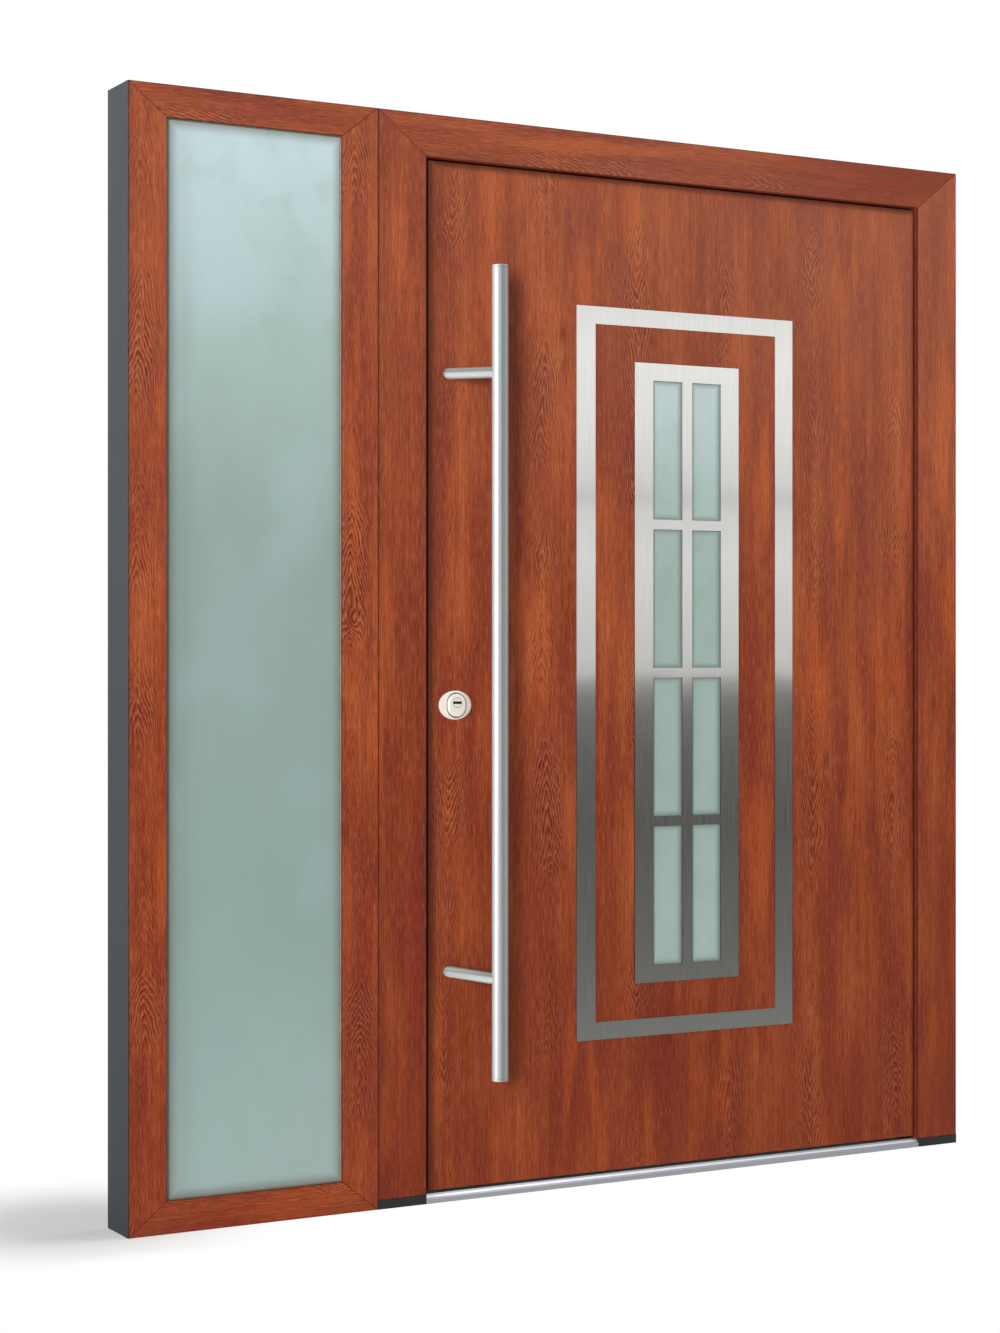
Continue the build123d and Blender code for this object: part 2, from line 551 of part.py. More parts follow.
# Lock plate in the leaf's edge, with the latch, bolt and hooks drawn back flush inside it.
nodes["lock_plate"] = lock_plate(FLANGE_LEFT)
bolt_plane = Plane.YZ.offset(FLANGE_LEFT + BOLT_PLAY)
bolts = [
    extrude(bolt_plane * opening, LOCK_PLATE_THICKNESS - BOLT_PLAY) for opening in lock_openings(BOLT_PLAY)
]
nodes["lock_bolts"] = Compound(bolts)

# Barrel hinges on the inside: the lower half carries the pin, the upper half lifts on over it.
barrel = Pos(HINGE_X, HINGE_Y) * Circle(HINGE_RADIUS)
plate_near = HINGE_X + HINGE_PLATE_START
frame_plan = barrel + polygon(
    (plate_near, INSIDE_Y),
    (plate_near + HINGE_PLATE_WIDTH, INSIDE_Y),
    (plate_near + HINGE_PLATE_WIDTH, INSIDE_Y + HINGE_PLATE_THICKNESS),
    (HINGE_X + HINGE_RADIUS + HINGE_NECK, INSIDE_Y + HINGE_PLATE_THICKNESS),
    (HINGE_X + HINGE_RADIUS, HINGE_Y),
    (plate_near, HINGE_Y),
)
leaf_near = HINGE_X - HINGE_PLATE_START
leaf_plan = barrel + polygon(
    (leaf_near, LEAF_INNER_Y),
    (leaf_near, HINGE_Y),
    (HINGE_X - HINGE_RADIUS, HINGE_Y),
    (HINGE_X - HINGE_RADIUS - HINGE_NECK, LEAF_INNER_Y + HINGE_PLATE_THICKNESS),
    (leaf_near - HINGE_PLATE_WIDTH, LEAF_INNER_Y + HINGE_PLATE_THICKNESS),
    (leaf_near - HINGE_PLATE_WIDTH, LEAF_INNER_Y),
)
pin = Pos(HINGE_X, HINGE_Y) * Circle(HINGE_PIN_RADIUS)
bore = Pos(HINGE_X, HINGE_Y) * Circle(HINGE_PIN_RADIUS + HINGE_PIN_CLEARANCE)
for place, level in HINGE_LEVELS.items():
    frame_top = level - HINGE_JOINT_GAP / 2
    leaf_low = level + HINGE_JOINT_GAP / 2
    frame_half = upright(frame_plan, frame_top - HINGE_HALF_HEIGHT, frame_top)
    frame_half += upright(pin, frame_top, frame_top + HINGE_PIN_LENGTH)
    nodes[f"{place}_hinge_frame_half"] = frame_half
    leaf_half = upright(leaf_plan, leaf_low, leaf_low + HINGE_HALF_HEIGHT)
    nodes[f"{place}_hinge_leaf_half"] = leaf_half - upright(
        bore, leaf_low, frame_top + HINGE_PIN_LENGTH + HINGE_BORE_END
    )

os.makedirs("parts", exist_ok=True)
for name, part in nodes.items():
    export_step(part, f"parts/{name}.step")
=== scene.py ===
import math

import bmesh
import bpy
import numpy as np
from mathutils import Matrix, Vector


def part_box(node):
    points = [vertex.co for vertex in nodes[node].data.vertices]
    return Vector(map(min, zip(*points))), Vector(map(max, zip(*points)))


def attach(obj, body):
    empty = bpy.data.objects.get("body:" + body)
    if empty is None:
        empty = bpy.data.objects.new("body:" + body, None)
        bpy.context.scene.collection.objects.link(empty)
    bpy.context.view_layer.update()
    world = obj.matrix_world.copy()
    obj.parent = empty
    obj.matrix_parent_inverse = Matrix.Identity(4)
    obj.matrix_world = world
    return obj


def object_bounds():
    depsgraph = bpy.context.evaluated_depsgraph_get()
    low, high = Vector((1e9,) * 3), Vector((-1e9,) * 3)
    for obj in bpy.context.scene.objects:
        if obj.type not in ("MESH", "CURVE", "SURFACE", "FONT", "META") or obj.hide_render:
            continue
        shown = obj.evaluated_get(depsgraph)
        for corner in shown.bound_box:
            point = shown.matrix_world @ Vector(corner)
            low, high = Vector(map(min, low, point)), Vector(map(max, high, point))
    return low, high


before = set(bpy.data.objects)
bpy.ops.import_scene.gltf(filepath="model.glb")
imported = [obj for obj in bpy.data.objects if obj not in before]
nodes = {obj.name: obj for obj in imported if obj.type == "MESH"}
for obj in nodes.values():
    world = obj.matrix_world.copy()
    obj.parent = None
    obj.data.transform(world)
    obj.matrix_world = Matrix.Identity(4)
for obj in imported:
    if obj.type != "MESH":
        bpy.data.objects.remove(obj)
cad_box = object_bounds()


# Frame members: mitred aluminium sections wrapped in a wood-print foil. The posts, stiles and upright
# beads have their grain upright, the head and the rails level. Faces that meet the wall are left bare,
# in grey powder coat, and a black line runs where foil and coat meet.

class Field:
    """A value that changes over a surface: one output socket of a material's nodes.

    Arithmetic between fields and numbers adds Math nodes, and node() adds a node of any other kind."""

    def __init__(self, tree, socket):
        self.tree = tree
        self.socket = socket

    def node(self, kind, settings, values, output=0):
        """One output of a new node: its settings are set first, then a value or a link for each socket."""
        made = self.tree.nodes.new(kind)
        for name, value in settings.items():
            if name == "stops":
                stops = made.color_ramp.elements
                while len(stops) < len(value):
                    stops.new(1.0)
                for stop, (position, colour) in zip(stops, value):
                    stop.position = position
                    stop.color = colour
            else:
                setattr(made, name, value)
        for name, value in values.items():
            if isinstance(value, Field):
                self.tree.links.new(value.socket, made.inputs[name])
            else:
                made.inputs[name].default_value = value
        return Field(self.tree, made.outputs[output])

    def maths(self, operation, *values):
        return self.node("ShaderNodeMath", {"operation": operation}, dict(enumerate(values)))

    def __add__(self, other):
        return self.maths("ADD", self, other)

    def __radd__(self, other):
        return self.maths("ADD", other, self)

    def __sub__(self, other):
        return self.maths("SUBTRACT", self, other)

    def __rsub__(self, other):
        return self.maths("SUBTRACT", other, self)

    def __mul__(self, other):
        return self.maths("MULTIPLY", self, other)

    def __rmul__(self, other):
        return self.maths("MULTIPLY", other, self)

    def __truediv__(self, other):
        return self.maths("DIVIDE", self, other)


def srgb(red, green, blue):
    """A colour in 0 to 255 display values, as the linear colour that a shader takes."""
    value = np.array([red, green, blue]) / 255
    linear = np.where(value <= 0.04045, value / 12.92, ((value + 0.055) / 1.055) ** 2.4)
    return (*linear.tolist(), 1.0)


def new_material(name):
    """A material with its Principled shader and the three parts of the place on the surface, in metres."""
    made = bpy.data.materials.new(name)
    made.use_nodes = True
    tree = made.node_tree
    place = Field(tree, tree.nodes.new("ShaderNodeTexCoord").outputs["Object"])
    parts = [place.node("ShaderNodeSeparateXYZ", {}, {"Vector": place}, axis) for axis in "XYZ"]
    return made, tree.nodes["Principled BSDF"], parts


def dress(shader, looks):
    """Sets a shader's inputs: a field is linked, a plain value is set on the input itself."""
    for name, value in looks.items():
        if isinstance(value, Field):
            value.tree.links.new(value.socket, shader.inputs[name])
        else:
            shader.inputs[name].default_value = value


def wear(material, *names):
    """Gives CAD nodes a material through their own slots."""
    for name in names:
        for slot in nodes[name].material_slots:
            slot.material = material


def cloud(across, along, detail=2.0):
    """Soft noise about one half, with its grain set by how its two coordinates are scaled."""
    at = across.node("ShaderNodeCombineXYZ", {}, {"X": across, "Y": along})
    settings = {"noise_dimensions": "2D"}
    return at.node("ShaderNodeTexNoise", settings, {"Vector": at, "Scale": 1.0, "Detail": detail})


def step(value, start, end):
    """A smooth rise from 0 to 1 as the value goes from start to end."""
    limits = {"Value": value, "From Min": start, "From Max": end}
    return value.node("ShaderNodeMapRange", {"interpolation_type": "SMOOTHSTEP"}, limits)


def blend(share, first, second):
    """A colour between two colours, by the share of the second."""
    sockets = {0: share, 6: first, 7: second}
    return share.node("ShaderNodeMix", {"data_type": "RGBA"}, sockets, 2)


def ramp(value, *stops):
    """A colour looked up along a row of stops."""
    return value.node("ShaderNodeValToRGB", {"stops": stops}, {"Fac": value})


def relief(height, depth):
    """A normal that is tilted by a height, which goes from 0 to 1 over a depth in metres."""
    return height.node("ShaderNodeBump", {}, {"Strength": 1.0, "Distance": depth, "Height": height}, "Normal")


BOARD_WIDTH = 0.2165
PITH_PLACE = -0.4165
RING_WIDTH = 0.0060
TRUNK_TAPER = 0.25
HEART_HALF = 0.018
KNOTS = (  # place across the grain, place along it, size
    (-0.3375, 0.765, 0.016),
    (-1.0245, 1.697, 0.014),
    (-1.5035, 1.124, 0.013),
    (-1.0635, 1.98, 0.012),
)
KNOT_STRETCH = 2.2
KNOT_PUSH = 0.020


def wood_figure(across, along):
    """Tone from 0 dark to 1 light, dark grain and pale grain, of flat-sawn boards printed side by side.

    Each board is a plane cut through a tapering trunk: the distance from the board's middle line, which
    grows faster past the heart, plus the trunk's taper along the grain, is divided by the ring width, and
    its fraction goes from a pale early line to a dark late one. So the rings nest in arches up the heart,
    every second board the other way up, and run straight beside it. Knots push the rings apart and darken
    their middle. Patches, bands, streaks, fibres and pores are noise that is stretched along the grain, and
    finer noise frays the rings."""
    boards = (across - PITH_PLACE) / BOARD_WIDTH + 0.5
    board = boards.maths("FLOOR", boards)
    local = (boards - board - 0.5) * BOARD_WIDTH
    sway = (cloud(board * 9.1, along * 9.0) - 0.5) * 0.014
    side = local + sway + (cloud(board * 7.31, along * 1.2) - 0.5) * 0.05
    side = side.maths("SQRT", side * side + 0.000012)
    flare = side.maths("MAXIMUM", side - HEART_HALF, 0.0)
    upward = board.maths("FLOORED_MODULO", board, 2.0) * 2 - 1
    climb = along + (cloud(board * 3.17 + 20.0, along * 2.0) - 0.5) * 0.24
    fibres = cloud(across * 520.0, along * 34.0)
    fine_fray = (cloud(across * 330.0, along * 26.0) - 0.5) * 0.0040
    broad_fray = (cloud(across * 44.0, along * 11.0) - 0.5) * 0.012
    radius = side * 0.9 + flare * flare * 18.0 + upward * climb * TRUNK_TAPER + (fine_fray + broad_fray)
    dark = 0.0
    for knot_across, knot_along, size in KNOTS:
        away_across = (across - knot_across) / size
        away_along = (along - knot_along) / (KNOT_STRETCH * size)
        away = away_across * away_across + away_along * away_along
        near = away.maths("POWER", 0.37, away)
        radius = radius + near * KNOT_PUSH
        dark = near.maths("POWER", near, 3.0) * 0.45 + dark
    rings = radius / RING_WIDTH
    ring = rings.maths("FRACT", rings)
    early = step(ring, 0.0, 0.12) * (1 - step(ring, 0.16, 0.40))
    late = step(ring, 0.40, 0.85) * (1 - step(ring, 0.86, 1.0))
    heart = 1 - step(side, 0.020, 0.056)
    figure = 0.20 + heart * step(cloud(board * 5.3, along * 3.4), 0.42, 0.66)
    patches = cloud(across * 11.0, along * 2.3, 3.0)
    bands = cloud(across * 34.0 + 9.0, along * 0.9, 2.0)
    streaks = cloud(across * 240.0, along * 5.0, 2.0)
    pores = step(cloud(across * 520.0, along * 50.0, 1.0), 0.56, 0.72)
    tone = 0.555 + (patches - 0.5) * 0.76 + (bands - 0.5) * 0.32 + (streaks - 0.5) * 0.46 - dark
    deep = pores * 0.18 + late * figure * (fibres * -1.4 + 1.5) * 0.64 + step(fibres, 0.52, 0.26) * 0.25
    pale = step(fibres, 0.50, 0.76) * 0.21 + early * figure * 0.27
    return tone, deep, pale


WOOD_STOPS = (
    (0.0, srgb(82, 26, 13)),
    (0.30, srgb(115, 44, 22)),
    (0.52, srgb(140, 62, 32)),
    (0.75, srgb(165, 83, 44)),
    (1.0, srgb(190, 109, 62)),
)
PORE_BROWN = srgb(62, 6, 0)
FIBRE_TAN = srgb(206, 126, 88)
BAND_RED = srgb(116, 42, 32)
GLOW_ORANGE = srgb(190, 92, 40)
PAINTED_LIGHT_ROSE = srgb(190, 134, 110)
FLOOR_SHADE_RED = srgb(100, 32, 16)
HEAD_END_RED = srgb(116, 40, 24)
EDGE_BROWN = srgb(40, 14, 8)
SHADE_BROWN = srgb(58, 20, 12)
EDGE_BLACK = srgb(22, 18, 18)
FOIL_EDGE = 0.0011
EDGE_END = 0.0022
REVEAL_DEPTH = 0.034
REVEAL_END = 0.038
PANEL_SHADE = 0.022
FACE_FILM = 0.0001
wall_low, wall_high = cad_box
wall_frame_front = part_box("lock_post")[0].y
stile_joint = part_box("lock_post")[0].x
lip_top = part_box("frame_head")[0].z


def wood_foil(name, upright, shift=0.0, panel=None, shade_to_floor=0.30):
    """Satin foil: the wood print, redder in bands, painted paler at the top, and the bare grey wall faces.

    The paler top is painted light. The print and the grey coat are painted darker towards the floor as
    shade, the print by a share given for each member. A level member reddens towards the hinge side. A node
    that is named as a panel is shaded softly in from its edges, where it lies deeper than its frame. Any
    other member is shaded in its reveal, behind an eased front edge."""
    made, shader, (x, y, z) = new_material(name)
    across, along = (x + y, z) if upright else (z + y, x)
    tone, deep, pale = wood_figure(across, along)
    print_colour = ramp(tone + shift, *WOOD_STOPS)
    redness = step(cloud(across * 15.0 + 40.0, along * 2.0, 3.0), 0.40, 0.68) * 0.55
    blotches = step(cloud(across * 30.0 + 7.0, along * 5.0, 4.0), 0.53, 0.73) * 0.56
    print_colour = blend(redness.maths("MAXIMUM", redness, blotches), print_colour, BAND_RED)
    glow = step(cloud(across * 19.0 + 90.0, along * 2.4, 4.0), 0.54, 0.72) * 0.40
    print_colour = blend(glow, print_colour, GLOW_ORANGE)
    print_colour = blend(pale, blend(deep, print_colour, PORE_BROWN), FIBRE_TAN)
    # Painted light: the print turns paler and rosier towards the top.
    light_haze = step(z, 0.85, 2.10) * (0.09 + step(x, -1.5, -0.1) * 0.10)
    print_colour = blend(light_haze, print_colour, PAINTED_LIGHT_ROSE)
    # Painted shade: the print darkens towards the floor, by the member's share.
    print_colour = blend((1 - step(z, 0.0, 1.25)) * shade_to_floor, print_colour, FLOOR_SHADE_RED)
    if not upright:
        print_colour = blend(step(x, -0.80, -0.10) * 0.50, print_colour, HEAD_END_RED)
    front = step(y, wall_frame_front + 0.00005, wall_frame_front + 0.0004)
    behind = step(y, wall_frame_front + FOIL_EDGE, wall_frame_front + EDGE_END)
    eased = front * (1 - behind)
    joint = x - stile_joint
    joint = 1 - step(joint.maths("ABSOLUTE", joint), 0.0006, 0.0024)
    print_colour = blend(eased.maths("MAXIMUM", eased * 0.45, joint * 0.75), print_colour, EDGE_BROWN)
    if panel:
        low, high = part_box(panel)
        hinge_edge, top_edge = (high.x - x) * 1.6 + 0.006, (high.z - z) * 1.35
        inset = x.maths("MINIMUM", x - low.x, x.maths("MINIMUM", hinge_edge, top_edge))
        outside = 1 - step(y, high.y + 0.001, high.y + 0.002)
        print_colour = blend((1 - step(inset, 0.0, PANEL_SHADE)) * outside * 0.76, print_colour, SHADE_BROWN)
    else:
        reveal = behind * (1 - step(y, wall_frame_front + REVEAL_DEPTH, wall_frame_front + REVEAL_END))
        print_colour = blend(reveal * 0.74, print_colour, SHADE_BROWN)
    left = 1 - step(x, wall_low.x + FACE_FILM, wall_low.x + 2 * FACE_FILM)
    right = step(x, wall_high.x - 2 * FACE_FILM, wall_high.x - FACE_FILM)
    top = step(z, wall_high.z - 2 * FACE_FILM, wall_high.z - FACE_FILM)
    bare = left.maths("MAXIMUM", left.maths("MAXIMUM", left, right), top)
    speckle = cloud(y * 700.0 + x * 700.0, z * 700.0, 1.0)
    # Painted shade: the grey coat is darker towards the floor and paler towards the top.
    coat = ramp(z / wall_high.z, (0.0, srgb(36, 39, 41)), (0.35, srgb(44, 47, 50)), (1.0, srgb(56, 59, 63)))
    coat = blend(step(speckle, 0.45, 0.75) * 0.20, coat, srgb(68, 71, 76))
    rim_left = 1 - step(x, wall_low.x + FOIL_EDGE, wall_low.x + 2.6 * FOIL_EDGE)
    rim_top = step(z, wall_high.z - 2.2 * FOIL_EDGE, wall_high.z - FOIL_EDGE) * 0.6
    rim = rim_left.maths("MAXIMUM", rim_left, rim_top)
    print_colour = blend(rim * 0.85, print_colour, EDGE_BLACK)
    dress(shader, {
        "Base Color": blend(bare, print_colour, coat),
        "Roughness": 0.47 - (tone - 0.5) * 0.10 + bare * 0.10,
        "Specular IOR Level": 0.14,
        "Normal": relief((0.6 - deep) * (1 - bare) + speckle * bare * 0.6, 0.00022),
    })
    return made


upright_foil = wood_foil("upright_wood_foil", True)
level_foil = wood_foil("level_wood_foil", False, -0.09)
wear(wood_foil("lock_post_wood_foil", True, -0.14, shade_to_floor=0.44), "lock_post")
wear(wood_foil("hinge_post_wood_foil", True, 0.05, shade_to_floor=0.56), "hinge_post")
wear(upright_foil, "sidelight_wall_stile", "sidelight_door_stile")
wear(upright_foil, "sidelight_left_bead", "sidelight_right_bead")
wear(level_foil, "frame_head", "sidelight_top_rail", "sidelight_bottom_rail")
wear(level_foil, "sidelight_top_bead", "sidelight_bottom_bead")


# Post feet: black plastic blocks that close the cut ends of the two door posts above the floor.
# They are moulded with a fine matt grain and are scuffed paler near the floor.
foot_plastic, shader, (x, y, z) = new_material("foot_plastic")
grain = cloud((x + y) * 900.0, z * 900.0, 2.0)
moulded = ramp(grain, (0.3, srgb(16, 16, 17)), (0.7, srgb(26, 26, 28)))
scuffs = step(cloud((x + y) * 60.0, z * 240.0, 3.0), 0.56, 0.70) * (1 - step(z, 0.0, 0.012))
dress(shader, {
    "Base Color": blend(scuffs * 0.25, moulded, srgb(60, 60, 62)),
    "Roughness": 0.55 + (grain - 0.5) * 0.3,
    "Specular IOR Level": 0.35,
    "Normal": relief(grain, 0.0001),
})
wear(foot_plastic, "lock_post_foot", "hinge_post_foot")


# Threshold: an anodised aluminium extrusion, drawn along the opening, which leaves fine lines along X.
# Its upper face is painted dark as the leaf's shadow, and the arris of its nose has a painted highlight.
def drawn_aluminium(name, light, dark):
    """Anodised metal with drawing lines along X: the material, its shader, its colour and its place."""
    made, shader, place = new_material(name)
    x, y, z = place
    lines = cloud(x * 3.0, (y + z) * 2600.0, 2.0)
    metal = blend(lines, dark, light)
    dress(shader, {
        "Base Color": metal,
        "Metallic": 0.6,
        "Roughness": 0.30 + (lines - 0.5) * 0.12,
        "Normal": relief(lines, 0.00003),
    })
    return made, shader, metal, place


threshold_aluminium, shader, metal, (x, y, z) = drawn_aluminium(
    "threshold_aluminium", srgb(160, 163, 168), srgb(136, 138, 143)
)
sill_low, sill_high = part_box("threshold")
NOSE_RUN = 0.008
ARRIS_DROP = 0.0045
# Painted shadow of the leaf on the upper face, mottled a little.
leaf_shadow = step(y, sill_low.y + NOSE_RUN - 0.001, sill_low.y + NOSE_RUN + 0.002)
shadow_mottle = step(cloud(x * 9.0, y * 40.0, 3.0), 0.40, 0.66)
metal = blend(leaf_shadow * (0.55 + shadow_mottle * 0.2), metal, srgb(92, 92, 94))
# Painted highlight along the arris of the nose, outside the painted shadow.
arris = z - (sill_high.z - ARRIS_DROP)
arris = 1 - step(arris.maths("ABSOLUTE", arris), 0.0006, 0.0022)
metal = blend(arris * (1 - leaf_shadow) * 0.8, metal, srgb(222, 225, 230))
dress(shader, {"Base Color": metal})
wear(threshold_aluminium, "threshold")


# Strike plate: a stainless strip let into the lock post and held by countersunk cross-recess screws.
# The plate is brushed along its length.
def brushed_steel(name, light, dark, metallic, roughness, level_lines=False):
    """Stainless steel: a tone between two greys by fine brush lines, upright unless they are level."""
    made, shader, (x, y, z) = new_material(name)
    lines = cloud((x + y) * 40.0, z * 2400.0) if level_lines else cloud((x + y) * 2400.0, z * 12.0)
    smudges = cloud((x + y) * 14.0, z * 9.0, 3.0)
    dress(shader, {
        "Base Color": blend(lines * 0.7 + smudges * 0.3, dark, light),
        "Metallic": metallic,
        "Roughness": roughness + (lines - 0.5) * 0.16 + (smudges - 0.5) * 0.10,
        "Normal": relief(lines, 0.00002),
    })
    return made


def surface(name, grids, path_closed=False):
    """A mesh of one or more grids of points (copies, rows, columns, xyz): each cell is a face.

    The columns close on themselves, and so do the rows of a closed path. Points that fall together are
    merged, and the faces are turned outwards."""
    copies, rows, columns, _ = grids.shape
    index = np.arange(copies * rows * columns).reshape(copies, rows, columns)
    if path_closed:
        index = np.concatenate([index, index[:, :1]], axis=1)
    index = np.concatenate([index, index[:, :, :1]], axis=2)
    corners = [index[:, :-1, :-1], index[:, 1:, :-1], index[:, 1:, 1:], index[:, :-1, 1:]]
    faces = np.stack(corners, axis=-1).reshape(-1, 4)
    mesh = bpy.data.meshes.new(name)
    mesh.from_pydata(grids.reshape(-1, 3).tolist(), [], faces.tolist())
    shell = bmesh.new()
    shell.from_mesh(mesh)
    bmesh.ops.remove_doubles(shell, verts=shell.verts, dist=1e-6)
    bmesh.ops.recalc_face_normals(shell, faces=shell.faces)
    shell.to_mesh(mesh)
    shell.free()
    mesh.polygons.foreach_set("use_smooth", np.ones(len(mesh.polygons), bool))
    mesh.set_sharp_from_angle(angle=math.radians(35))
    piece = bpy.data.objects.new(name, mesh)
    bpy.context.scene.collection.objects.link(piece)
    return piece


def screw_heads(name, seats, facing, sideways, radius):
    """Oval countersunk heads, one at each seat, that face along one direction.

    Over radius share r and angle a, the head is a low dome, height 0.28 (1 - r squared) of its radius, less
    a cross recess: deep where the place lies near either arm of the cross. The last rows close it under the
    rim."""
    share = np.concatenate([np.linspace(0, 1, 15), [1.0, 0.0]])[:, None]
    angle = np.linspace(0, 2 * np.pi, 32, endpoint=False)[None, :]
    east, north = share * np.cos(angle), share * np.sin(angle)
    arm = np.clip((0.17 - np.minimum(abs(east), abs(north))) / 0.06, 0, 1)
    reach = np.clip((0.62 - np.maximum(abs(east), abs(north))) / 0.12, 0, 1)
    rise = 0.28 * (1 - share**2) - 0.34 * arm * reach
    rise[-2:] = -0.12
    facing, sideways = np.array(facing, float), np.array(sideways, float)
    third = np.cross(facing, sideways)
    head = radius * (rise[..., None] * facing + east[..., None] * sideways + north[..., None] * third)
    return surface(name, np.array(seats)[:, None, None, :] + head[None])


PLATE_SCREW = 0.0032
SCREW_SHARES = np.array([0.025, 0.16, 0.33, 0.47, 0.60, 0.72, 0.84, 0.975])
plate_steel = brushed_steel("plate_steel", srgb(205, 205, 203), srgb(150, 150, 149), 0.9, 0.34)
screw_steel = brushed_steel("screw_steel", srgb(190, 191, 192), srgb(140, 141, 143), 0.9, 0.30, True)
wear(plate_steel, "strike_plate")
plate_low, plate_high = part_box("strike_plate")
plate_span = plate_high.z - plate_low.z
plate_levels = plate_low.z + plate_span * SCREW_SHARES
plate_middle = (plate_low.y + plate_high.y) / 2
strike_seats = [(plate_high.x, plate_middle, level) for level in plate_levels]
strike_screws = screw_heads("strike_screws", strike_seats, (1, 0, 0), (0, 0.8, 0.6), PLATE_SCREW)
strike_screws.data.materials.append(screw_steel)
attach(strike_screws, "frame")


# Sidelight glazing: two frosted panes about an aluminium spacer. The frosting is milky blue-green, with a
# painted reflection that is paler towards the top, and a grey rubber gasket seals each pane to the lip
# outside and to the beads inside.
LEFT_SHADE = 0.008


def frosted_glass(name, node, stops, shade_of_bars=None):
    """Milky glass: a row of greens by height, mottled by broad clouds, and darker towards its rim.

    The greens, paler upwards, the clouds and the leaf-like patches are a painted reflection, and the dark
    rim is painted shade. The rim is that of the pane, browner, or where bars lie in front of it, that of
    each light between them. A pane's dark rim is wider at its left, where the frame's shade falls on it."""
    made, shader, (x, y, z) = new_material(name)
    low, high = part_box(node)
    height = (z - low.z) / (high.z - low.z)
    # Painted reflection: greens by height, pale clouds and leaf-like patches.
    reflected_mist = cloud(x * 3.4 + 3.0, z * 2.6, 4.0)
    leaves = cloud(x * 17.0, z * 13.0, 4.0)
    milk_and_reflection = ramp(height + (reflected_mist - 0.5) * 0.22, *stops)
    milk_and_reflection = blend(step(reflected_mist, 0.50, 0.72) * 0.22, milk_and_reflection, srgb(158, 176, 188))
    milk_and_reflection = blend(step(leaves, 0.46, 0.68) * step(0.60 - reflected_mist, 0.0, 0.2) * 0.14, milk_and_reflection, srgb(128, 150, 132))
    # Painted shade towards the rim of the pane, and beside the bars towards that of each light.
    if shade_of_bars is None:
        inset = x.maths("MINIMUM", x - low.x - LEFT_SHADE, high.x - x)
        inset = inset.maths("MINIMUM", inset, inset.maths("MINIMUM", z - low.z, high.z - z))
        rim = (1 - step(inset, 0.006, 0.034)) * 0.66
        rim_shade_colour = srgb(104, 97, 86)
    else:
        rim = shade_of_bars(x, z) * 0.62
        rim_shade_colour = srgb(100, 116, 108)
    sparkle = cloud(x * 1100.0, z * 1100.0, 1.0)
    dress(shader, {
        "Base Color": blend(rim, milk_and_reflection, rim_shade_colour),
        "Roughness": 0.34 + (sparkle - 0.5) * 0.10,
        "Specular IOR Level": 0.30,
        "Coat Weight": 0.12,
        "Coat Roughness": 0.22,
        "Normal": relief(sparkle, 0.00002),
    })
    return made


# Greens by height for the sidelight's painted reflection, paler towards the top.
SIDELIGHT_STOPS = (
    (0.0, srgb(147, 168, 164)),
    (0.25, srgb(131, 153, 147)),
    (0.60, srgb(134, 154, 146)),
    (0.80, srgb(155, 176, 171)),
    (1.0, srgb(188, 208, 211)),
)
side_glass = frosted_glass("sidelight_frosted_glass", "sidelight_outer_pane", SIDELIGHT_STOPS)
wear(side_glass, "sidelight_outer_pane", "sidelight_inner_pane")
spacer_aluminium = drawn_aluminium("spacer_aluminium", srgb(196, 198, 200), srgb(150, 152, 155))[0]
wear(spacer_aluminium, "sidelight_spacer")


def soft_rubber(name, dark, light, painted_light_under_head=None):
    """Matt rubber: a bloom of two tones, and a fine grain. A strip can be painted paler under the head, as
    light.
    """
    made, shader, (x, y, z) = new_material(name)
    bloom = cloud((x + y) * 90.0, z * 30.0, 3.0)
    tone = ramp(bloom, (0.3, dark), (0.75, light))
    if painted_light_under_head:
        # Painted light: the strip turns paler under the head.
        tone = blend(step(z, lip_top - 0.003, lip_top - 0.001), tone, painted_light_under_head)
    dress(shader, {
        "Base Color": tone,
        "Roughness": 0.66 + (bloom - 0.5) * 0.25,
        "Specular IOR Level": 0.30,
        "Normal": relief(cloud((x + y) * 1200.0, z * 400.0, 1.0), 0.00003),
    })
    return made


rubber = soft_rubber("black_rubber", srgb(24, 24, 25), srgb(44, 44, 45))
grey_rubber = soft_rubber("grey_rubber", srgb(104, 96, 86), srgb(122, 114, 103))
GASKET = 0.0024


def gasket(name, low, high, pane_y, towards, body, material):
    """A quarter-round rubber bead in the corner between a pane and the edge of its opening.

    Its profile, a quarter circle closed through the corner, is carried round the opening's four corners,
    moved in along both sides of each, so the bead is mitred. It stands off the pane in one direction of Y."""
    turn = np.linspace(0, np.pi / 2, 9)
    inward = np.append(GASKET * (1 - np.sin(turn)), 0.0)
    proud = np.append(GASKET * (1 - np.cos(turn)), 0.0)
    corner_x = np.array([low[0], high[0], high[0], low[0]])[:, None]
    corner_z = np.array([low[1], low[1], high[1], high[1]])[:, None]
    lean_x = np.array([1, -1, -1, 1])[:, None]
    lean_z = np.array([1, 1, -1, -1])[:, None]
    across = corner_x + lean_x * inward
    level = corner_z + lean_z * inward
    depth = np.broadcast_to(pane_y + towards * proud, across.shape)
    bead = surface(name, np.stack([across, depth, level], axis=-1)[None], path_closed=True)
    bead.data.materials.append(material)
    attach(bead, body)


